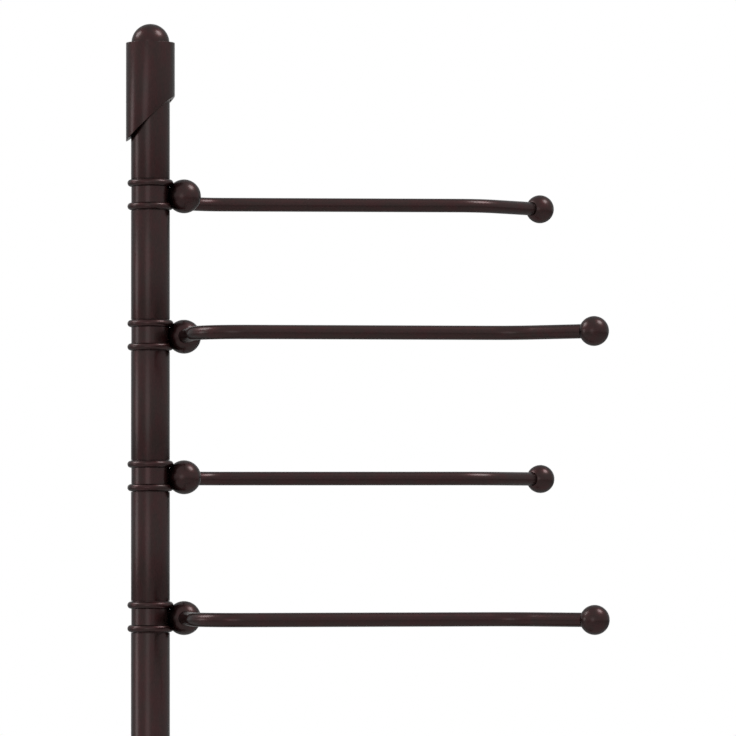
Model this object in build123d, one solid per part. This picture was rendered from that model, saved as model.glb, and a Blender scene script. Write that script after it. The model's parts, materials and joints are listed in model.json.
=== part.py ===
from build123d import *
import math
import os

# A freestanding towel rack: four arms swing about one post.
# Millimetres, +Z up. The origin is on the post's axis at floor level.
# At rest every arm's barrel faces +X, and arms 2 and 4 are the mirror image of arms 1 and 3.

# Post
overall_height = 1245.0
post_radius = 14.29
tube_wall = 1.2
tie_rod_radius = 4.75
tie_rod_bore_radius = 4.85
plug_length = 8.0
braze_gap = 0.02
dome_radius = 14.0
dome_skirt = 4.0

# Arm places along the post, at the middle of each barrel
arm_count = 4
top_arm_height = 1118.8
arm_pitch = 103.6

# Swivel barrel and what it turns on
bead_spacing = 17.2
bead_section_radius = 2.6
bead_outer_radius = 16.95
bead_land = 0.3
running_clearance = 0.05
end_play = 0.3
washer_thickness = 1.0
pivot_radius = 8.0
bush_wall = 1.45

# Arm
hub_offset = 24.8
ball_drop = 1.0
hub_ball_radius = 12.5
rod_radius = 5.15
end_ball_radius = 10.75
rod_seat_depth = 2.0
stud_radius = 3.0
stud_depth_in_ball = 6.0
leg_corner = (2.0, 101.5)
run_corner = (232.5, 96.0)
rod_end = (284.5, 138.5)
leg_bend_radius = 35.0
tip_bend_radius = 47.0

# Obliquely cut sleeve at the top
sleeve_radius = 18.0
sleeve_wall = 2.6
sleeve_rim_height = 1231.0
sleeve_tip_height = 1158.2
sleeve_heel_height = 1191.5
sleeve_turn_degrees = -8.0
sleeve_ring_height = 9.0
sleeve_edge_round = 0.6
sleeve_screw_radius = 1.5
sleeve_screw_count = 3

# Base
base_radius = 127.0
pad_radius = 122.0
pad_thickness = 3.0
shell_thickness = 2.0
rim_height = 8.0
rim_round = 6.0
ledge_radius = 98.0
ledge_rise = 2.5
cove_radius = 5.0
crown_flat_radius = 38.0
crown_height = 31.0
crown_bulge = 1.6
weight_radius = 123.0
weight_upper_radius = 90.0
weight_boss_radius = 36.0
nut_pocket_radius = 20.0
nut_pocket_depth = 12.0
nut_height = 8.0
nut_across_flats = 17.0
washer_radius = 14.0
base_washer_thickness = 2.0
rod_tail = 1.0
collar_foot_radius = 34.0
collar_foot_height = 4.0
collar_height = 24.0
collar_top_radius = 18.0
collar_fit = 0.1

# Sizes that follow from the ones above
tube_bore_radius = post_radius - tube_wall
plug_radius = tube_bore_radius - braze_gap
dome_centre_height = overall_height - dome_radius
dome_seat_height = dome_centre_height - dome_skirt
barrel_half_height = bead_spacing / 2 + bead_section_radius + bead_land
tube_end_offset = barrel_half_height + end_play
plug_face_offset = tube_end_offset + washer_thickness
bush_inner_radius = pivot_radius + running_clearance
bush_outer_radius = bush_inner_radius + bush_wall
barrel_bore_radius = bush_outer_radius + braze_gap
bead_centre_radius = bead_outer_radius - bead_section_radius
washer_bore_radius = pivot_radius + running_clearance
washer_outer_radius = tube_bore_radius - collar_fit
pocket_top = pad_thickness + nut_pocket_depth
arm_heights = [top_arm_height - i * arm_pitch for i in range(arm_count)]


def ring(outer, inner, bottom, top):
    """A plain round ring about the post's axis, between two heights."""
    height = top - bottom
    body = Cylinder(outer, height) - Cylinder(inner, height + 2)
    return Pos(0, 0, (bottom + top) / 2) * body


def rod_shape(radius, bottom, top):
    """A plain round rod about the post's axis, between two heights."""
    return Pos(0, 0, (bottom + top) / 2) * Cylinder(radius, top - bottom)


def save(shape, node, colour):
    shape.label = node
    shape.color = Color(*colour)
    export_step(shape, "parts/" + node + ".step")


bronze = (0.23, 0.17, 0.17)
steel = (0.60, 0.61, 0.63)
iron = (0.20, 0.20, 0.21)
nylon = (0.07, 0.07, 0.08)
dark_pad = (0.06, 0.06, 0.06)


# Base

def crown_profile(inset):
    """Half of the base cover's section, drawn a given distance inside its outer surface."""
    edge = base_radius - inset
    rim_top = pad_thickness + rim_height
    shoulder = rim_round - inset
    ledge_start = (edge - shoulder, rim_top + shoulder)
    ledge_end = (ledge_radius - inset, rim_top + rim_round + ledge_rise - inset)
    cove = cove_radius + inset
    cove_top = (ledge_end[0] - cove, ledge_end[1] + cove)
    flat_start = (crown_flat_radius, crown_height - inset)
    middle = ((cove_top[0] + flat_start[0]) / 2, (cove_top[1] + flat_start[1]) / 2 + crown_bulge)
    line = [
        Line((0, pad_thickness), (edge, pad_thickness)),
        Line((edge, pad_thickness), (edge, rim_top)),
        RadiusArc((edge, rim_top), ledge_start, -shoulder),
        Line(ledge_start, ledge_end),
        RadiusArc(ledge_end, cove_top, cove),
        ThreePointArc(cove_top, middle, flat_start),
        Line(flat_start, (0, flat_start[1])),
        Line((0, flat_start[1]), (0, pad_thickness)),
    ]
    return Plane.XZ * make_face(Curve() + line)


def base_shell():
    outer = revolve(crown_profile(0), Axis.Z)
    inner = revolve(crown_profile(shell_thickness), Axis.Z)
    hole = rod_shape(tie_rod_bore_radius, 0, overall_height)
    return outer - inner - hole


def base_weight():
    """A stepped iron disc. Its boss bears on the underside of the cover's flat crown."""
    lower_top = pad_thickness + rim_height
    upper_top = lower_top + rim_round + ledge_rise
    boss_top = crown_height - shell_thickness
    body = rod_shape(weight_radius, pad_thickness, lower_top)
    body += rod_shape(weight_upper_radius, lower_top, upper_top)
    body += rod_shape(weight_boss_radius, upper_top, boss_top)
    body -= rod_shape(nut_pocket_radius, pad_thickness - 1, pocket_top)
    return body - rod_shape(tie_rod_bore_radius, 0, boss_top + 1)


def base_nut():
    top = pocket_top - base_washer_thickness
    flats = extrude(RegularPolygon(nut_across_flats / 2, 6, major_radius=False), nut_height)
    return Pos(0, 0, top - nut_height) * flats - rod_shape(tie_rod_radius, 0, top + 1)


def foot_collar():
    """A turned collar: a flat foot, a cove that draws in to the post, and a round lip."""
    bore = post_radius + collar_fit
    foot_top = crown_height + collar_foot_height
    neck_bottom = (collar_top_radius, foot_top + collar_foot_radius - collar_top_radius)
    lip_top = crown_height + collar_height
    lip_radius = (lip_top - neck_bottom[1]) / 2
    line = [
        Line((bore, crown_height), (collar_foot_radius, crown_height)),
        Line((collar_foot_radius, crown_height), (collar_foot_radius, foot_top)),
        RadiusArc((collar_foot_radius, foot_top), neck_bottom, collar_foot_radius - collar_top_radius),
        ThreePointArc(
            neck_bottom,
            (collar_top_radius + lip_radius, neck_bottom[1] + lip_radius),
            (collar_top_radius, lip_top),
        ),
        Line((collar_top_radius, lip_top), (bore, lip_top)),
        Line((bore, lip_top), (bore, crown_height)),
    ]
    return revolve(Plane.XZ * make_face(Curve() + line), Axis.Z)


# Post

def tube_spans():
    """Bottom and top of each tube of the post, from the foot to the dome."""
    spans = {"post_tube_lower": (crown_height, arm_heights[-1] - tube_end_offset)}
    for i in range(arm_count - 1):
        bottom = arm_heights[i + 1] + tube_end_offset
        spans["post_tube_spacer_" + str(i + 1)] = (bottom, arm_heights[i] - tube_end_offset)
    spans["post_tube_top"] = (arm_heights[0] + tube_end_offset, dome_seat_height)
    return spans


def tube_plugs():
    """Two bored plugs in each tube. Next to an arm the plug sits back by one washer."""
    plugs = []
    for node, (bottom, top) in tube_spans().items():
        low = bottom if node == "post_tube_lower" else bottom + washer_thickness
        high = top if node == "post_tube_top" else top - washer_thickness
        plugs.append(ring(plug_radius, tie_rod_bore_radius, low, low + plug_length))
        plugs.append(ring(plug_radius, tie_rod_bore_radius, high - plug_length, high))
    return Compound(children=plugs)


def finial_dome():
    """A domed nut with a blind hole for the end of the tie rod."""
    ball = Pos(0, 0, dome_centre_height) * Sphere(dome_radius)
    ball &= rod_shape(post_radius, dome_centre_height, overall_height)
    skirt = rod_shape(dome_radius, dome_seat_height, dome_centre_height)
    return ball + skirt - rod_shape(tie_rod_radius, 0, dome_centre_height + dome_skirt)


# Sleeve at the top

def top_sleeve():
    """A wide tube cut obliquely at its lower end."""
    body = ring(sleeve_radius, sleeve_radius - sleeve_wall, sleeve_tip_height, sleeve_rim_height)
    rise = sleeve_heel_height - sleeve_tip_height
    slope = math.degrees(math.atan2(rise, 2 * sleeve_radius))
    middle = (sleeve_heel_height + sleeve_tip_height) / 2
    size = 4 * sleeve_radius
    cutter = Pos(0, 0, middle) * Rot(0, -slope, 0) * Pos(0, 0, -size / 2) * Box(2 * size, size, size)
    body -= cutter
    rim_edges = body.edges().filter_by(GeomType.CIRCLE).group_by(Axis.Z)[-1]
    body = fillet(rim_edges, sleeve_edge_round)
    return Rot(0, 0, sleeve_turn_degrees) * body


def sleeve_ring():
    outer = sleeve_radius - sleeve_wall - braze_gap
    inner = post_radius + braze_gap
    bottom = sleeve_rim_height - sleeve_edge_round - sleeve_ring_height
    body = ring(outer, inner, bottom, bottom + sleeve_ring_height)
    for hole in sleeve_screw_places(sleeve_screw_radius + braze_gap, outer + 1):
        body -= hole
    return body


def sleeve_screw_places(radius, reach):
    """Round bars pointing outward from the post's surface at the middle of the sleeve ring."""
    middle = sleeve_rim_height - sleeve_edge_round - sleeve_ring_height / 2
    start = post_radius
    bars = []
    for i in range(sleeve_screw_count):
        bar = Rot(0, 90, 0) * Cylinder(radius, reach - start)
        bars.append(Rot(0, 0, i * 360 / sleeve_screw_count) * Pos((start + reach) / 2, 0, middle) * bar)
    return bars


# Arms

def swivel_barrel():
    """As wide as the post, with a bead at each end and a scoop for the ball just below its middle."""
    reach = math.sqrt(bead_section_radius**2 - (post_radius - bead_centre_radius) ** 2)
    points = [(barrel_bore_radius, -barrel_half_height), (post_radius, -barrel_half_height)]
    line = [Line(points[0], points[1])]
    for end in (-1, 1):
        middle = end * bead_spacing / 2
        start, stop = (post_radius, middle - reach), (post_radius, middle + reach)
        line.append(Line(points[-1], start))
        line.append(ThreePointArc(start, (bead_outer_radius, middle), stop))
        points.append(stop)
    line.append(Line(points[-1], (post_radius, barrel_half_height)))
    line.append(Line((post_radius, barrel_half_height), (barrel_bore_radius, barrel_half_height)))
    line.append(Line((barrel_bore_radius, barrel_half_height), points[0]))
    body = Rot(0, 0, 180) * revolve(Plane.XZ * make_face(Curve() + line), Axis.Z)
    body -= Pos(hub_offset, 0, -ball_drop) * Sphere(hub_ball_radius + braze_gap)
    return body - Pos(0, 0, -ball_drop) * hub_stud(pivot_radius, braze_gap)


def swivel_bush():
    return ring(bush_outer_radius, bush_inner_radius, -barrel_half_height, barrel_half_height)


def hub_stud(start=barrel_bore_radius, spare=0.0):
    """The stud that joins barrel and ball. With a spare and an earlier start it cuts the barrel's hole."""
    end = hub_offset - stud_depth_in_ball
    bar = Rot(0, 90, 0) * Cylinder(stud_radius + spare, end - start + spare)
    return Pos((start + end + spare) / 2, 0, 0) * bar


def rod_route(side):
    """The rod's centreline in plan, from inside the hub ball to inside the end ball."""
    leg_length = math.hypot(*leg_corner)
    start = [rod_seat_depth * c / leg_length for c in leg_corner]
    tip = (rod_end[0] - run_corner[0], rod_end[1] - run_corner[1])
    tip_length = math.hypot(*tip)
    end = [rod_end[i] - rod_seat_depth * tip[i] / tip_length for i in (0, 1)]
    points = [Vector(hub_offset + x, side * y, 0) for x, y in (start, leg_corner, run_corner, end)]
    wire = Wire.make_polygon(points, close=False)
    for corner, radius in ((points[1], leg_bend_radius), (points[2], tip_bend_radius)):
        vertex = wire.vertices().sort_by_distance(corner)[0]
        wire = wire.fillet_2d(radius, [vertex])
    return wire


def arm_rod(side, radius=rod_radius):
    route = rod_route(side)
    start = route.edges().sort_by_distance((hub_offset, 0, 0))[0]
    section = Plane(origin=start @ 0, z_dir=start % 0) * Circle(radius)
    return sweep(section, path=route)


def hub_ball(side):
    ball = Pos(hub_offset, 0, 0) * Sphere(hub_ball_radius)
    return ball - hub_stud() - arm_rod(side)


def end_ball(side):
    ball = Pos(hub_offset + rod_end[0], side * rod_end[1], 0) * Sphere(end_ball_radius)
    return ball - arm_rod(side)


def main():
    os.makedirs("parts", exist_ok=True)

    save(rod_shape(pad_radius, 0, pad_thickness), "base_pad", dark_pad)
    save(base_weight(), "base_weight", iron)
    save(base_shell(), "base_shell", bronze)
    washer_bottom = pocket_top - base_washer_thickness
    save(ring(washer_radius, tie_rod_bore_radius, washer_bottom, pocket_top), "base_washer", steel)
    save(base_nut(), "base_nut", steel)
    save(foot_collar(), "foot_collar", bronze)

    rod_bottom = washer_bottom - nut_height - rod_tail
    rod_top = dome_centre_height + dome_skirt
    save(rod_shape(tie_rod_radius, rod_bottom, rod_top), "tie_rod", steel)
    for node, (bottom, top) in tube_spans().items():
        save(ring(post_radius, tube_bore_radius, bottom, top), node, bronze)
    save(tube_plugs(), "tube_plugs", steel)
    save(finial_dome(), "finial_dome", bronze)

    save(top_sleeve(), "top_sleeve", bronze)
    save(sleeve_ring(), "sleeve_ring", bronze)
    screw_reach = sleeve_radius - sleeve_wall - collar_fit
    screws = sleeve_screw_places(sleeve_screw_radius, screw_reach)
    save(Compound(children=screws), "sleeve_screws", steel)

    for i, height in enumerate(arm_heights):
        number = str(i + 1)
        side = 1 if i % 2 == 0 else -1
        place = Pos(0, 0, height)
        pivot = ring(pivot_radius, tie_rod_bore_radius, -plug_face_offset, plug_face_offset)
        washer = ring(washer_outer_radius, washer_bore_radius, tube_end_offset, plug_face_offset)
        save(place * pivot, "pivot_sleeve_" + number, steel)
        save(place * washer, "thrust_washer_upper_" + number, nylon)
        save(place * Rot(180, 0, 0) * washer, "thrust_washer_lower_" + number, nylon)
        save(place * swivel_barrel(), "swivel_barrel_" + number, bronze)
        save(place * swivel_bush(), "swivel_bush_" + number, nylon)
        arm_place = Pos(0, 0, height - ball_drop)
        save(arm_place * hub_stud(), "hub_stud_" + number, steel)
        save(arm_place * hub_ball(side), "hub_ball_" + number, bronze)
        save(arm_place * arm_rod(side), "arm_rod_" + number, bronze)
        save(arm_place * end_ball(side), "end_ball_" + number, bronze)


main()
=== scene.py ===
import bmesh
import bpy
import json
import math
from mathutils import Matrix, Vector


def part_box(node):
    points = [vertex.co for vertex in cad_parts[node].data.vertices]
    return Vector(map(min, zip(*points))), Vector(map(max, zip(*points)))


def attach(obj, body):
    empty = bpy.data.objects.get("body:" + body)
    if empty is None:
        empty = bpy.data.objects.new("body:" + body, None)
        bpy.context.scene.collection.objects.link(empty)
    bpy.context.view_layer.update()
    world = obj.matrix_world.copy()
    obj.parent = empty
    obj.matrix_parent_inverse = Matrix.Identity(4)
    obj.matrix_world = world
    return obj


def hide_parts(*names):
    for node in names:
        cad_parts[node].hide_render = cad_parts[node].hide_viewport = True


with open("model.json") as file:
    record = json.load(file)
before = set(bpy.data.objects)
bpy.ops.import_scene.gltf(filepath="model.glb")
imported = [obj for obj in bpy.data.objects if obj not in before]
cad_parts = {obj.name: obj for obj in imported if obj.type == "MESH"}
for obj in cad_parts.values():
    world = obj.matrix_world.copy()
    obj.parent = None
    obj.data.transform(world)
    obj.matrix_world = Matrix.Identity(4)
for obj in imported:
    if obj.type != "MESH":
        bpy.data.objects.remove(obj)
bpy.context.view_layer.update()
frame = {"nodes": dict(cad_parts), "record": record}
print("frame loaded")

sceneSize = {
    "mm": 0.001,
    "steps round": 128,
    "ball segments": (96, 64),
    "bevel segments": 3,
    "weld": 1e-7,
    "tolerance": 1e-6,
    "smooth below degrees": 32.0,
    "corner above degrees": 40.0,
}
mm = sceneSize["mm"]


# Shaping helpers: a profile is drawn in the XZ plane and turned about Z

def startProfile(r, z):
    bm = bmesh.new()
    return bm, bm.verts.new((r, 0, z))


def lineTo(bm, vert, r, z):
    end = bm.verts.new((r, 0, z))
    bm.edges.new((vert, end))
    return end


def arcTo(bm, vert, centre, degrees, steps):
    # positive degrees turn from +Z towards +X
    made = bmesh.ops.spin(bm, geom=[vert], cent=(centre[0], 0, centre[1]), axis=(0, 1, 0),
                          dvec=(0, 0, 0), angle=math.radians(degrees), steps=steps, use_duplicate=False)
    return vertsOf(made["geom_last"])[0]


def crownTo(bm, vert, r, z, rise, steps):
    # a shallow arc whose middle stands above the straight line by the rise
    start, end = Vector((vert.co.x, vert.co.z)), Vector((r, z))
    chord = end - start
    radius = (chord.length**2 / 4 + rise**2) / (2 * rise)
    outward = 1 if chord.x > 0 else -1
    upwards = Vector((-chord.y, chord.x)).normalized() * outward
    centre = (start + end) / 2 + upwards * (rise - radius)
    degrees = math.degrees(2 * math.asin(chord.length / 2 / radius))
    return arcTo(bm, vert, centre, outward * degrees, steps)


def closeProfile(bm, first, last):
    bm.edges.new((last, first))


def turn(bm, steps=sceneSize["steps round"]):
    bmesh.ops.spin(bm, geom=bm.verts[:] + bm.edges[:], cent=(0, 0, 0), axis=(0, 0, 1),
                   dvec=(0, 0, 0), angle=math.tau, steps=steps, use_merge=True, use_duplicate=False)
    bmesh.ops.remove_doubles(bm, verts=bm.verts, dist=sceneSize["weld"])
    bmesh.ops.recalc_face_normals(bm, faces=bm.faces)
    return bm


def ballMesh(radius):
    bm = bmesh.new()
    across, along = sceneSize["ball segments"]
    bmesh.ops.create_uvsphere(bm, u_segments=across, v_segments=along, radius=radius)
    return bm


def vertsOf(geometry):
    return [g for g in geometry if isinstance(g, bmesh.types.BMVert)]


def edgesOf(geometry):
    return [g for g in geometry if isinstance(g, bmesh.types.BMEdge)]


def openEdges(bm):
    return [e for e in bm.edges if len(e.link_faces) == 1]


def cornerEdges(bm):
    least = math.radians(sceneSize["corner above degrees"])
    return [e for e in bm.edges if len(e.link_faces) == 2 and e.calc_face_angle(0) > least]


def bevelEdges(bm, edges, width, segments=sceneSize["bevel segments"]):
    bmesh.ops.bevel(bm, geom=edges, offset=width, offset_type="OFFSET", segments=segments,
                    profile=0.5, affect="EDGES", material=-1, clamp_overlap=True)
    return bm


def softenCorners(bm, width):
    return bevelEdges(bm, cornerEdges(bm), width)


def placeAlong(bm, centre, direction):
    # what was drawn about Z now lies about the direction, and its origin at the centre
    turned = Vector(direction).to_track_quat("Z", "Y").to_matrix().to_4x4()
    bmesh.ops.transform(bm, matrix=Matrix.Translation(centre) @ turned, verts=bm.verts)
    return bm


# Objects

def meshFrom(name, bm):
    mesh = bpy.data.meshes.new(name)
    bm.to_mesh(mesh)
    bm.free()
    return mesh


def shadeMesh(mesh):
    mesh.shade_smooth()
    mesh.set_sharp_from_angle(angle=math.radians(sceneSize["smooth below degrees"]))


def addObject(name, data):
    obj = bpy.data.objects.new(name, data)
    bpy.context.scene.collection.objects.link(obj)
    return obj


def piece(name, bm, material, slot, body, *nodes):
    mesh = meshFrom(name, bm)
    shadeMesh(mesh)
    obj = addObject(name, mesh)
    mesh.materials.append(material)
    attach(obj, body)
    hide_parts(*nodes)
    return obj


# Shader helpers

def mathNode(nodes, links, operation, *sources):
    # each source is a socket or a number, in the order of the node's inputs
    made = nodes.new("ShaderNodeMath")
    made.operation = operation
    for place, source in zip(made.inputs, sources):
        if isinstance(source, float):
            place.default_value = source
        else:
            links.new(source, place)
    return made.outputs[0]


def rangeNode(nodes, links, source, fromRange, toRange=(0.0, 1.0)):
    made = nodes.new("ShaderNodeMapRange")
    made.inputs["From Min"].default_value, made.inputs["From Max"].default_value = fromRange
    made.inputs["To Min"].default_value, made.inputs["To Max"].default_value = toRange
    links.new(source, made.inputs["Value"])
    return made


# Finishes

patinaLook = {
    "patch noise": {"detail": 3.0, "roughness": 0.55},
    "cloud noise": {"detail": 2.0, "roughness": 0.5, "share": 0.21},
    "grain noise": {"detail": 4.0, "roughness": 0.62},
    "patch range": (0.34, 0.66),
    "grain range": (0.30, 0.70),
    "grain shade": (0.80, 1.22),
    "wear range": (0.35, 0.65),
    "grain in roughness": 0.10,
}
patinaSockets = {
    "INPUT": {"Stretch": "Vector", "Patch Scale": "Float", "Grain Scale": "Float",
              "Warm": "Color", "Cool": "Color", "Smooth": "Float", "Rough": "Float"},
    "OUTPUT": {"Color": "Color", "Roughness": "Float", "Height": "Float"},
}


def patinaGroup():
    # warm and cool patches, fine grain, and rubbed spots that are a little smoother
    group = bpy.data.node_groups.new("patina", "ShaderNodeTree")
    for inOut, kinds in patinaSockets.items():
        for name, kind in kinds.items():
            group.interface.new_socket(name=name, in_out=inOut, socket_type="NodeSocket" + kind)
    nodes, links = group.nodes, group.links
    given = nodes.new("NodeGroupInput")
    out = nodes.new("NodeGroupOutput")
    place = nodes.new("ShaderNodeTexCoord")
    stretch = nodes.new("ShaderNodeMapping")
    links.new(place.outputs["Object"], stretch.inputs["Vector"])
    links.new(given.outputs["Stretch"], stretch.inputs["Scale"])

    def noise(scaleFrom, detail, roughness, share=1.0):
        # the share is the part of the given scale that this noise uses
        made = nodes.new("ShaderNodeTexNoise")
        made.inputs["Detail"].default_value = detail
        made.inputs["Roughness"].default_value = roughness
        links.new(stretch.outputs["Vector"], made.inputs["Vector"])
        scale = mathNode(nodes, links, "MULTIPLY", given.outputs[scaleFrom], share)
        links.new(scale, made.inputs["Scale"])
        return made.outputs["Fac"]

    patches = noise("Patch Scale", **patinaLook["patch noise"])
    clouds = noise("Patch Scale", **patinaLook["cloud noise"])
    grain = noise("Grain Scale", **patinaLook["grain noise"])

    patchRange = rangeNode(nodes, links, patches, patinaLook["patch range"])
    tint = nodes.new("ShaderNodeMix")
    tint.data_type = "RGBA"
    links.new(patchRange.outputs["Result"], tint.inputs["Factor"])
    links.new(given.outputs["Warm"], tint.inputs["A"])
    links.new(given.outputs["Cool"], tint.inputs["B"])
    speckle = rangeNode(nodes, links, grain, patinaLook["grain range"], patinaLook["grain shade"])
    shade = nodes.new("ShaderNodeMix")
    shade.data_type = "RGBA"
    shade.blend_type = "MULTIPLY"
    shade.inputs["Factor"].default_value = 1.0
    links.new(tint.outputs["Result"], shade.inputs["A"])
    links.new(speckle.outputs["Result"], shade.inputs["B"])
    links.new(shade.outputs["Result"], out.inputs["Color"])

    wear = rangeNode(nodes, links, clouds, patinaLook["wear range"])
    links.new(given.outputs["Smooth"], wear.inputs["To Min"])
    links.new(given.outputs["Rough"], wear.inputs["To Max"])
    roughness = mathNode(nodes, links, "MULTIPLY_ADD", grain, patinaLook["grain in roughness"],
                         wear.outputs["Result"])
    links.new(roughness, out.inputs["Roughness"])
    links.new(grain, out.inputs["Height"])
    return group


patina = patinaGroup()


def patinaMaterial(name, metallic, patinaValues, bumpStrength, bumpDistance):
    material = bpy.data.materials.new(name)
    material.use_nodes = True
    nodes, links = material.node_tree.nodes, material.node_tree.links
    shader = nodes["Principled BSDF"]
    shader.inputs["Metallic"].default_value = metallic
    surface = nodes.new("ShaderNodeGroup")
    surface.node_tree = patina
    for socketName, value in patinaValues.items():
        surface.inputs[socketName].default_value = value
    bump = nodes.new("ShaderNodeBump")
    bump.inputs["Strength"].default_value = bumpStrength
    bump.inputs["Distance"].default_value = bumpDistance
    links.new(surface.outputs["Height"], bump.inputs["Height"])
    links.new(bump.outputs["Normal"], shader.inputs["Normal"])
    links.new(surface.outputs["Color"], shader.inputs["Base Color"])
    links.new(surface.outputs["Roughness"], shader.inputs["Roughness"])
    return material


bronzeLook = {
    "warm": (0.030, 0.0088, 0.0092, 1.0),
    "cool": (0.0225, 0.0113, 0.0104, 1.0),
    "edge tint": (0.30, 0.29, 0.28, 1.0),
    "cut edge tint": (0.85, 0.84, 0.84, 1.0),
    "lacquer": 0.36,
    "lacquer roughness": 0.24,
    "smooth": 0.31,
    "rough": 0.41,
    "bump distance": 0.06 * mm,
    "bump strength": 0.30,
}
evenGrain = (1.0, 1.0, 1.0)


def bronzeMaterial(name, patchScale, grainScale, stretch=evenGrain, edgeTint=bronzeLook["edge tint"]):
    patinaValues = {
        "Stretch": stretch,
        "Patch Scale": patchScale,
        "Grain Scale": grainScale,
        "Warm": bronzeLook["warm"],
        "Cool": bronzeLook["cool"],
        "Smooth": bronzeLook["smooth"],
        "Rough": bronzeLook["rough"],
    }
    material = patinaMaterial(name, 1.0, patinaValues, bronzeLook["bump strength"],
                              bronzeLook["bump distance"])
    shader = material.node_tree.nodes["Principled BSDF"]
    shader.inputs["Specular Tint"].default_value = edgeTint
    shader.inputs["Coat Weight"].default_value = bronzeLook["lacquer"]
    shader.inputs["Coat Roughness"].default_value = bronzeLook["lacquer roughness"]
    return material


tubeBronze = bronzeMaterial("tubeBronze", patchScale=190.0, grainScale=1300.0, stretch=(1.0, 1.0, 0.30))
rodBronze = bronzeMaterial("rodBronze", patchScale=190.0, grainScale=1400.0, stretch=(0.45, 1.0, 1.0))
turnedBronze = bronzeMaterial("turnedBronze", patchScale=170.0, grainScale=1300.0)
spunBronze = bronzeMaterial("spunBronze", patchScale=90.0, grainScale=1100.0)
cutBronze = bronzeMaterial("cutBronze", patchScale=170.0, grainScale=1300.0,
                           edgeTint=bronzeLook["cut edge tint"])

plainLook = {"grains per patch": 8, "bump strength": 0.5}


def plainMaterial(name, dark, light, metallic, smooth, rough, grainScale, bumpDistance):
    # parts that are mostly hidden: two close shades, grain in the roughness and a fine bump
    patinaValues = {
        "Stretch": evenGrain,
        "Patch Scale": grainScale / plainLook["grains per patch"],
        "Grain Scale": grainScale,
        "Warm": dark,
        "Cool": light,
        "Smooth": smooth,
        "Rough": rough,
    }
    return patinaMaterial(name, metallic, patinaValues, plainLook["bump strength"], bumpDistance)


zincSteel = plainMaterial("zincSteel", dark=(0.44, 0.45, 0.47, 1), light=(0.56, 0.56, 0.55, 1), metallic=1.0,
                          smooth=0.30, rough=0.42, grainScale=900.0, bumpDistance=0.04 * mm)
castIron = plainMaterial("castIron", dark=(0.045, 0.045, 0.05, 1), light=(0.075, 0.07, 0.07, 1), metallic=0.6,
                         smooth=0.55, rough=0.75, grainScale=500.0, bumpDistance=0.3 * mm)
blackNylon = plainMaterial("blackNylon", dark=(0.010, 0.010, 0.011, 1), light=(0.016, 0.016, 0.016, 1),
                           metallic=0.0, smooth=0.42, rough=0.52, grainScale=700.0, bumpDistance=0.03 * mm)
padRubber = plainMaterial("padRubber", dark=(0.012, 0.012, 0.013, 1), light=(0.022, 0.022, 0.022, 1),
                          metallic=0.0, smooth=0.78, rough=0.92, grainScale=1600.0, bumpDistance=0.2 * mm)
slotMaterials = {
    "bronze_finish": turnedBronze,
    "steel_hardware": zincSteel,
    "cast_iron_weight": castIron,
    "nylon_bearing": blackNylon,
    "base_pad_rubber": padRubber,
}
for entry in frame["record"]["subparts"]:
    node = frame["nodes"][entry["node"]]
    node.data.materials.clear()
    node.data.materials.append(slotMaterials[entry["material_slot"]])
print("finishes made")


# Base: rubber pad, spun cover and turned foot collar

pad = {"steps round": 192, "edge softening": 0.8 * mm}
cover = {
    "steps round": 256,
    "sheet": 2.0 * mm,
    "rim height": 8.0 * mm,
    "rim round": 6.0 * mm,
    "rim steps": 16,
    "inner rim steps": 12,
    "ledge radius": 98.0 * mm,
    "ledge rise": 2.5 * mm,
    "cove radius": 5.0 * mm,
    "cove steps": 14,
    "crown flat radius": 38.0 * mm,
    "crown rise": 1.6 * mm,
    "crown steps": 32,
    "rod hole radius": 4.85 * mm,
    "softening": 0.5 * mm,
}
collar = {
    "steps round": 160,
    "foot height": 4.0 * mm,
    "neck radius": 18.0 * mm,
    "cove steps": 28,
    "lip radius": 2.0 * mm,
    "lip steps": 20,
    "clearance": 0.1 * mm,
    "softening": 0.35 * mm,
}
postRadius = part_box("post_tube_top")[1].x


def padShape():
    low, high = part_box("base_pad")
    bm, first = startProfile(0, low.z)
    vert = lineTo(bm, first, high.x, low.z)
    vert = lineTo(bm, vert, high.x, high.z)
    lineTo(bm, vert, 0, high.z)
    turn(bm, pad["steps round"])
    return softenCorners(bm, pad["edge softening"])


def coverShape():
    low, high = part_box("base_shell")
    sheet, rim, cove = cover["sheet"], cover["rim round"], cover["cove radius"]
    ledge, flat, hole = cover["ledge radius"], cover["crown flat radius"], cover["rod hole radius"]
    rise, crownSteps = cover["crown rise"], cover["crown steps"]
    rimTop = low.z + cover["rim height"]
    ledgeTop = rimTop + rim + cover["ledge rise"]
    bm, first = startProfile(high.x, low.z)
    vert = lineTo(bm, first, high.x, rimTop)
    vert = arcTo(bm, vert, (high.x - rim, rimTop), -90, cover["rim steps"])
    vert = lineTo(bm, vert, ledge, ledgeTop)
    vert = arcTo(bm, vert, (ledge, ledgeTop + cove), 90, cover["cove steps"])
    vert = crownTo(bm, vert, flat, high.z, rise, crownSteps)
    vert = lineTo(bm, vert, hole, high.z)
    # back along the inside of the sheet
    vert = lineTo(bm, vert, hole, high.z - sheet)
    vert = lineTo(bm, vert, flat, high.z - sheet)
    innerCove = cove + sheet
    innerLedge, innerTop = ledge - sheet, ledgeTop - sheet
    vert = crownTo(bm, vert, innerLedge - innerCove, innerTop + innerCove, rise, crownSteps)
    vert = arcTo(bm, vert, (innerLedge, innerTop + innerCove), -90, cover["cove steps"])
    vert = lineTo(bm, vert, high.x - rim, rimTop + rim - sheet)
    vert = arcTo(bm, vert, (high.x - rim, rimTop), 90, cover["inner rim steps"])
    vert = lineTo(bm, vert, high.x - sheet, low.z)
    closeProfile(bm, first, vert)
    turn(bm, cover["steps round"])
    return softenCorners(bm, cover["softening"])


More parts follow.
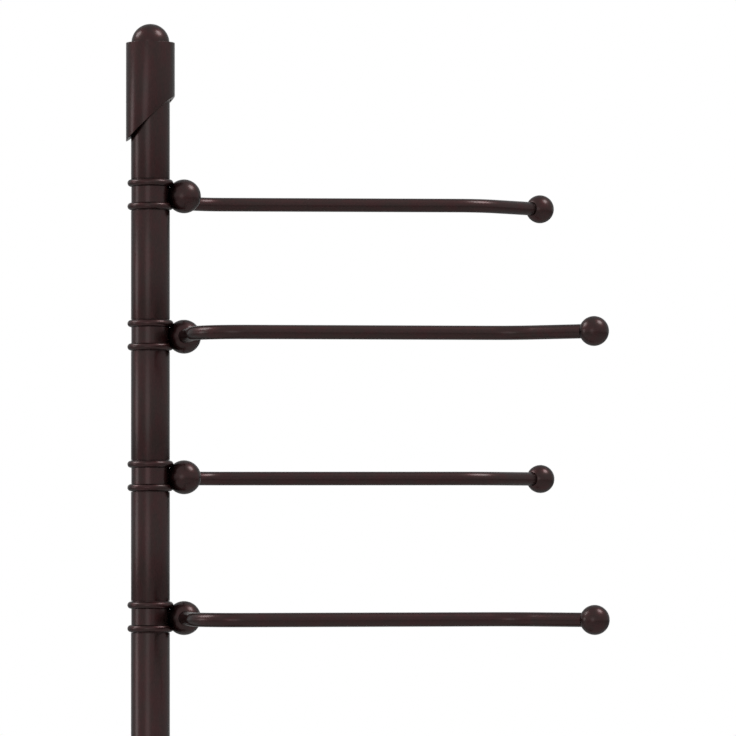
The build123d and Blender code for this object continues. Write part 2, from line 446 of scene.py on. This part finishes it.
def collarShape():
    low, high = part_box("foot_collar")
    bore, neck, lip = postRadius + collar["clearance"], collar["neck radius"], collar["lip radius"]
    cove = high.x - neck
    footTop = low.z + collar["foot height"]
    bm, first = startProfile(bore, low.z)
    vert = lineTo(bm, first, high.x, low.z)
    vert = lineTo(bm, vert, high.x, footTop)
    vert = arcTo(bm, vert, (high.x, footTop + cove), 90, collar["cove steps"])
    vert = arcTo(bm, vert, (neck, high.z - lip), -180, collar["lip steps"])
    vert = lineTo(bm, vert, bore, high.z)
    closeProfile(bm, first, vert)
    turn(bm, collar["steps round"])
    return softenCorners(bm, collar["softening"])


piece("basePad", padShape(), padRubber, "base_pad_rubber", "post", "base_pad")
piece("baseCover", coverShape(), spunBronze, "bronze_finish", "post", "base_shell")
piece("footCollar", collarShape(), turnedBronze, "bronze_finish", "post", "foot_collar")
print("base made")


# Post

post = {"tube wall": 1.2 * mm, "end softening": 0.12 * mm}


def tubeShape(radius, wall, bottom, top, steps=sceneSize["steps round"]):
    bm, first = startProfile(radius - wall, bottom)
    vert = lineTo(bm, first, radius, bottom)
    vert = lineTo(bm, vert, radius, top)
    vert = lineTo(bm, vert, radius - wall, top)
    closeProfile(bm, first, vert)
    return turn(bm, steps)


for part in ("lower", "spacer_1", "spacer_2", "spacer_3", "top"):
    node = "post_tube_" + part
    low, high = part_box(node)
    bm = tubeShape(high.x, post["tube wall"], low.z, high.z)
    softenCorners(bm, post["end softening"])
    name = "postTube" + "".join(word.capitalize() for word in part.split("_"))
    piece(name, bm, tubeBronze, "bronze_finish", "post", node)
print("post tubes made")


# Domed nut and sleeve at the top

dome = {
    "hole radius": 4.75 * mm,
    "hole above middle": 4.0 * mm,
    "dome steps": 40,
    "softening": 0.3 * mm,
}
sleeve = {
    "steps round": 192,
    "wall": 2.6 * mm,
    "rim softening": 0.25 * mm,
    "rim segments": 4,
    "cut softening": 0.3 * mm,
    "cut face cosine": 0.9,
    "heel height": 1191.5 * mm,
    "turn": -8.0,
}


def domeShape():
    low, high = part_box("finial_dome")
    radius, hole = high.x, dome["hole radius"]
    middle = high.z - radius
    holeTop = middle + dome["hole above middle"]
    bm, first = startProfile(hole, holeTop)
    vert = lineTo(bm, first, hole, low.z)
    vert = lineTo(bm, vert, radius, low.z)
    vert = lineTo(bm, vert, radius, middle)
    arcTo(bm, vert, (0, middle), -90, dome["dome steps"])
    lineTo(bm, first, 0, holeTop)
    turn(bm)
    return softenCorners(bm, dome["softening"])


def sleeveShape():
    low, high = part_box("top_sleeve")
    radius = high.x
    bm = tubeShape(radius, sleeve["wall"], low.z - radius, high.z, sleeve["steps round"])
    # the slanting cut runs from the tip, at the lowest point, up to the heel
    slope = math.atan2(sleeve["heel height"] - low.z, 2 * radius)
    middle = (sleeve["heel height"] + low.z) / 2
    cutNormal = Vector((-math.sin(slope), 0, math.cos(slope)))
    bmesh.ops.bisect_plane(bm, geom=bm.verts[:] + bm.edges[:] + bm.faces[:], dist=sceneSize["weld"],
                           plane_co=(0, 0, middle), plane_no=cutNormal, clear_inner=True)
    bmesh.ops.bridge_loops(bm, edges=openEdges(bm))
    bmesh.ops.recalc_face_normals(bm, faces=bm.faces)
    rimLow = high.z - sceneSize["tolerance"]
    rim = [e for e in cornerEdges(bm) if all(v.co.z > rimLow for v in e.verts)]
    bevelEdges(bm, rim, sleeve["rim softening"], sleeve["rim segments"])
    softenCorners(bm, sleeve["cut softening"])
    bm.normal_update()
    for face in bm.faces:
        if face.normal.dot(cutNormal) < -sleeve["cut face cosine"]:
            face.material_index = 1
    bmesh.ops.rotate(bm, cent=(0, 0, 0), matrix=Matrix.Rotation(math.radians(sleeve["turn"]), 3, "Z"),
                     verts=bm.verts)
    return bm


piece("finialDome", domeShape(), turnedBronze, "bronze_finish", "post", "finial_dome")
sleevePiece = piece("topSleeve", sleeveShape(), tubeBronze, "bronze_finish", "post", "top_sleeve")
sleevePiece.data.materials.append(cutBronze)
print("top made")


# Swing arms

armRod = {
    "radius": 5.15 * mm,
    "seat depth": 2.0 * mm,
    "leg corner": (2.0 * mm, 101.5 * mm),
    "run corner": (232.5 * mm, 96.0 * mm),
    "tip": (284.5 * mm, 138.5 * mm),
    "leg bend": 35.0 * mm,
    "tip bend": 47.0 * mm,
    "steps round": 64,
    "bend steps": 32,
    "end softening": 0.3 * mm,
}
hubBall = {
    "offset": 24.8 * mm,
    "radius": 12.5 * mm,
    "seat clearance": 0.02 * mm,
    "mouth": {"clearance": 0.04 * mm, "depth": 2.5 * mm, "softening": 0.25 * mm},
}
endBall = {"mouth": {"clearance": 0.05 * mm, "depth": 2.0 * mm, "softening": 0.18 * mm}}
barrel = {
    "steps round": 160,
    "bore radius": 9.52 * mm,
    "bead radius": 2.6 * mm,
    "bead centre": 14.35 * mm,
    "bead spacing": 17.2 * mm,
    "bead steps": 20,
    "waist": 0.22 * mm,  # how far the middle stands back from the tubes
    "boss radius": 13.4 * mm,
    "boss height": 0.24 * mm,  # each end's low boss all but closes the gap to the tube
    "end softening": 0.12 * mm,
    "end segments": 2,
}


def armCorners(centre, side):
    # the leg's corner, the run's corner and the tip; side is -1 on a mirrored arm
    plans = (armRod["leg corner"], armRod["run corner"], armRod["tip"])
    return [centre + Vector((x, side * y, 0)) for x, y in plans]


def bendCorner(before, corner, after, radius):
    # start and end of the bend, its centre, and the angle it turns (positive to the left)
    arrive = (corner - before).normalized()
    leave = (after - corner).normalized()
    angle = math.atan2(arrive.cross(leave).z, arrive.dot(leave))
    back = radius * math.tan(abs(angle) / 2)
    start = corner - arrive * back
    toLeft = Vector((-arrive.y, arrive.x, 0)) * (1 if angle > 0 else -1)
    return start, corner + leave * back, start + toLeft * radius, angle


def rodShape(centre, leg, run, tip):
    legDirection = (leg - centre).normalized()
    start = centre + legDirection * armRod["seat depth"]
    end = tip - (tip - run).normalized() * armRod["seat depth"]
    bm = bmesh.new()
    bmesh.ops.create_circle(bm, cap_ends=False, segments=armRod["steps round"], radius=armRod["radius"])
    placeAlong(bm, start, legDirection)
    firstEdges = bm.edges[:]
    loop = bm.verts[:] + firstEdges

    def push(loop, move):
        made = bmesh.ops.extrude_edge_only(bm, edges=edgesOf(loop))
        verts = vertsOf(made["geom"])
        bmesh.ops.translate(bm, vec=move, verts=verts)
        return verts + [e for e in edgesOf(made["geom"]) if all(v in verts for v in e.verts)]

    place = start
    for before, corner, after, radius in ((centre, leg, run, armRod["leg bend"]),
                                          (leg, run, tip, armRod["tip bend"])):
        bendStart, bendEnd, bendCentre, angle = bendCorner(before, corner, after, radius)
        loop = push(loop, bendStart - place)
        made = bmesh.ops.spin(bm, geom=loop, cent=bendCentre, axis=(0, 0, 1), dvec=(0, 0, 0),
                              angle=angle, steps=armRod["bend steps"], use_duplicate=False)
        loop = made["geom_last"]
        place = bendEnd
    loop = push(loop, end - place)
    for edges in (firstEdges, edgesOf(loop)):
        bmesh.ops.edgeloop_fill(bm, edges=edges)
    bmesh.ops.remove_doubles(bm, verts=bm.verts, dist=sceneSize["weld"])
    bmesh.ops.recalc_face_normals(bm, faces=bm.faces)
    return softenCorners(bm, armRod["end softening"])


def ballShape(radius, mouth, centre, direction):
    # a ball with a round mouth that the rod enters
    mouthRadius = armRod["radius"] + mouth["clearance"]
    bm = ballMesh(radius)
    level = math.sqrt(radius**2 - mouthRadius**2)
    bmesh.ops.bisect_plane(bm, geom=bm.verts[:] + bm.edges[:] + bm.faces[:], dist=sceneSize["weld"],
                           plane_co=(0, 0, level), plane_no=(0, 0, 1), clear_outer=True)
    made = bmesh.ops.extrude_edge_only(bm, edges=openEdges(bm))
    bmesh.ops.translate(bm, vec=(0, 0, -mouth["depth"]), verts=vertsOf(made["geom"]))
    bmesh.ops.edgeloop_fill(bm, edges=openEdges(bm))
    bmesh.ops.recalc_face_normals(bm, faces=bm.faces)
    softenCorners(bm, mouth["softening"])
    return placeAlong(bm, centre, direction)


def barrelShape(low, high):
    height, halfHeight = (high.z + low.z) / 2, (high.z - low.z) / 2
    bead, spacing = barrel["bead radius"], barrel["bead spacing"] / 2
    waistRadius = postRadius - barrel["waist"]
    bore, boss, bossTop = barrel["bore radius"], barrel["boss radius"], halfHeight + barrel["boss height"]

    def leaveBead(r):
        # where a bead's circle meets the radius: height above its centre, and the angle there
        inward = r - barrel["bead centre"]
        rise = math.sqrt(bead**2 - inward**2)
        return rise, math.degrees(math.atan2(rise, inward))

    (outer, outerAngle), (inner, innerAngle) = leaveBead(postRadius), leaveBead(waistRadius)
    beadTurn = -outerAngle - innerAngle
    bm, first = startProfile(bore, -bossTop)
    vert = lineTo(bm, first, boss, -bossTop)
    vert = lineTo(bm, vert, boss, -halfHeight)
    vert = lineTo(bm, vert, postRadius, -halfHeight)
    vert = lineTo(bm, vert, postRadius, -spacing - outer)
    vert = arcTo(bm, vert, (barrel["bead centre"], -spacing), beadTurn, barrel["bead steps"])
    vert = lineTo(bm, vert, waistRadius, spacing - inner)
    vert = arcTo(bm, vert, (barrel["bead centre"], spacing), beadTurn, barrel["bead steps"])
    vert = lineTo(bm, vert, postRadius, halfHeight)
    vert = lineTo(bm, vert, boss, halfHeight)
    vert = lineTo(bm, vert, boss, bossTop)
    vert = lineTo(bm, vert, bore, bossTop)
    closeProfile(bm, first, vert)
    turn(bm, barrel["steps round"])
    least, lowest = postRadius - sceneSize["tolerance"], halfHeight - sceneSize["tolerance"]
    ends = [e for e in cornerEdges(bm)
            if all(v.co.xy.length > least and abs(v.co.z) > lowest for v in e.verts)]
    bevelEdges(bm, ends, barrel["end softening"], barrel["end segments"])
    bmesh.ops.translate(bm, vec=(0, 0, height), verts=bm.verts)
    return bm


def scoop(obj, centre, radius):
    # the ball's seat, cut across the barrel and its beads
    bm = ballMesh(radius)
    bmesh.ops.translate(bm, vec=centre, verts=bm.verts)
    tool = addObject("scoopTool", meshFrom("scoopTool", bm))
    cut = obj.modifiers.new("scoop", "BOOLEAN")
    cut.operation = "DIFFERENCE"
    cut.solver = "EXACT"
    cut.object = tool
    bpy.context.view_layer.update()
    cutMesh = bpy.data.meshes.new_from_object(obj.evaluated_get(bpy.context.evaluated_depsgraph_get()))
    obj.modifiers.clear()
    obj.data = cutMesh
    shadeMesh(cutMesh)
    bpy.data.objects.remove(tool)


for number in "1234":
    low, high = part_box("end_ball_" + number)
    endRadius = (high.z - low.z) / 2
    centre = Vector((hubBall["offset"], 0, (low.z + high.z) / 2))
    leg, run, tip = armCorners(centre, side=1 if number in "13" else -1)
    barrelPiece = piece("swivelBarrel" + number, barrelShape(*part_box("swivel_barrel_" + number)),
                        turnedBronze, "bronze_finish", "arm_" + number, "swivel_barrel_" + number)
    scoop(barrelPiece, centre, hubBall["radius"] + hubBall["seat clearance"])
    piece("armRod" + number, rodShape(centre, leg, run, tip),
          rodBronze, "bronze_finish", "arm_" + number, "arm_rod_" + number)
    piece("hubBall" + number, ballShape(hubBall["radius"], hubBall["mouth"], centre, leg - centre),
          turnedBronze, "bronze_finish", "arm_" + number, "hub_ball_" + number)
    piece("endBall" + number, ballShape(endRadius, endBall["mouth"], tip, run - tip),
          turnedBronze, "bronze_finish", "arm_" + number, "end_ball_" + number)
print("arms made")


# Floor, light and camera

camera = {
    "distance from post": 4.0547,
    "height": 0.8711,
    "arms turned away": 3.968,
    "turned right": 2.265,
    "tilted up": 1.6935,
    "rolled": -0.065,
    "lens": 269.19,
    "sensor": 36.0,
}
lampTarget = (0.10, 0.0, 1.0)
lamps = {
    "key": {"from": (0.57, -0.13, 0.81), "distance": 3.0, "size": 1.3, "watts": 51.0},
    "left": {"from": (-0.76, 0.14, 0.63), "distance": 3.0, "size": 1.3, "watts": 38.0},
    "low left": {"from": (-1.0, -0.02, 0.02), "distance": 3.0, "size": 1.0, "watts": 8.0},
    "front": {"from": (-0.30, -0.95, 0.03), "distance": 4.4, "size": 2.0, "watts": 14.0},
}
white = (1.0, 1.0, 1.0, 1.0)
worldForDiffuse = 0.55
floorLook = {
    "radius": 14.0,
    "sides": 96,
    "shade": (0.80, 0.80, 0.79, 1.0),
    "darker shade": (0.784, 0.784, 0.7742, 1.0),
    "speckle scale": 40.0,
    "roughness": 0.8,
    "shine": 0.1,
    "fade": (0.25, 1.6),
}


def imageFrame():
    # x runs to the right of the picture, y away from the camera; the post is the axis
    return Matrix.Rotation(math.radians(-camera["arms turned away"]), 3, "Z")


def addCamera():
    data = bpy.data.cameras.new("camera")
    data.lens = camera["lens"]
    data.sensor_width = camera["sensor"]
    obj = addObject("camera", data)
    yaw, pitch, roll = (math.radians(camera[k]) for k in ("turned right", "tilted up", "rolled"))
    ahead = Vector((math.sin(yaw) * math.cos(pitch), math.cos(yaw) * math.cos(pitch), math.sin(pitch)))
    right = Vector((math.cos(yaw), -math.sin(yaw), 0))
    up = right.cross(ahead)
    right, up = right * math.cos(roll) + up * math.sin(roll), up * math.cos(roll) - right * math.sin(roll)
    axes = Matrix((right, up, -ahead)).transposed()
    obj.matrix_world = (imageFrame() @ axes).to_4x4()
    place = imageFrame() @ Vector((0, -camera["distance from post"], 0))
    obj.location = (place.x, place.y, camera["height"])
    bpy.context.scene.camera = obj


def addLamp(name, values):
    data = bpy.data.lights.new(name, "AREA")
    data.shape = "DISK"
    data.size = values["size"]
    data.energy = values["watts"]
    obj = addObject(name, data)
    direction = imageFrame() @ Vector(values["from"]).normalized()
    obj.location = Vector(lampTarget) + direction * values["distance"]
    obj.rotation_euler = direction.to_track_quat("Z", "Y").to_euler()


def addWorld():
    # white where it is seen, mirrored or seen through, and dimmer as a light on matt surfaces
    world = bpy.data.worlds.new("studio")
    bpy.context.scene.world = world
    world.use_nodes = True
    nodes, links = world.node_tree.nodes, world.node_tree.links
    background = nodes["Background"]
    background.inputs["Color"].default_value = white
    path = nodes.new("ShaderNodeLightPath")
    seen = mathNode(nodes, links, "MAXIMUM", path.outputs["Is Camera Ray"], path.outputs["Is Glossy Ray"])
    seen = mathNode(nodes, links, "MAXIMUM", seen, path.outputs["Is Transmission Ray"])
    level = rangeNode(nodes, links, seen, (0.0, 1.0), (worldForDiffuse, 1.0))
    links.new(level.outputs["Result"], background.inputs["Strength"])


def fadeToWhite(nodes, links, place, shader):
    # away from the stand, and only as the camera sees it, the floor fades into the white backdrop
    reach = nodes.new("ShaderNodeVectorMath")
    reach.operation = "LENGTH"
    links.new(place.outputs["Object"], reach.inputs[0])
    fade = rangeNode(nodes, links, reach.outputs["Value"], floorLook["fade"])
    fade.interpolation_type = "SMOOTHERSTEP"
    path = nodes.new("ShaderNodeLightPath")
    share = mathNode(nodes, links, "MULTIPLY", fade.outputs["Result"], path.outputs["Is Camera Ray"])
    glow = nodes.new("ShaderNodeEmission")
    blend = nodes.new("ShaderNodeMixShader")
    links.new(share, blend.inputs["Fac"])
    links.new(shader.outputs["BSDF"], blend.inputs[1])
    links.new(glow.outputs["Emission"], blend.inputs[2])
    links.new(blend.outputs["Shader"], nodes["Material Output"].inputs["Surface"])


def floorMaterial():
    material = bpy.data.materials.new("paleFloor")
    material.use_nodes = True
    nodes, links = material.node_tree.nodes, material.node_tree.links
    shader = nodes["Principled BSDF"]
    shader.inputs["Roughness"].default_value = floorLook["roughness"]
    shader.inputs["Specular IOR Level"].default_value = floorLook["shine"]
    place = nodes.new("ShaderNodeTexCoord")
    speckle = nodes.new("ShaderNodeTexNoise")
    speckle.inputs["Scale"].default_value = floorLook["speckle scale"]
    links.new(place.outputs["Object"], speckle.inputs["Vector"])
    tone = nodes.new("ShaderNodeMix")
    tone.data_type = "RGBA"
    tone.inputs["A"].default_value = floorLook["shade"]
    tone.inputs["B"].default_value = floorLook["darker shade"]
    links.new(speckle.outputs["Fac"], tone.inputs["Factor"])
    links.new(tone.outputs["Result"], shader.inputs["Base Color"])
    fadeToWhite(nodes, links, place, shader)
    return material


def addFloor():
    bm = bmesh.new()
    bmesh.ops.create_circle(bm, cap_ends=True, segments=floorLook["sides"], radius=floorLook["radius"])
    floor = addObject("floor", meshFrom("floor", bm))
    floor.data.materials.append(floorMaterial())


addCamera()
for name, values in lamps.items():
    addLamp(name, values)
addWorld()
addFloor()
bpy.context.scene.view_settings.view_transform = "Standard"
print("studio made")
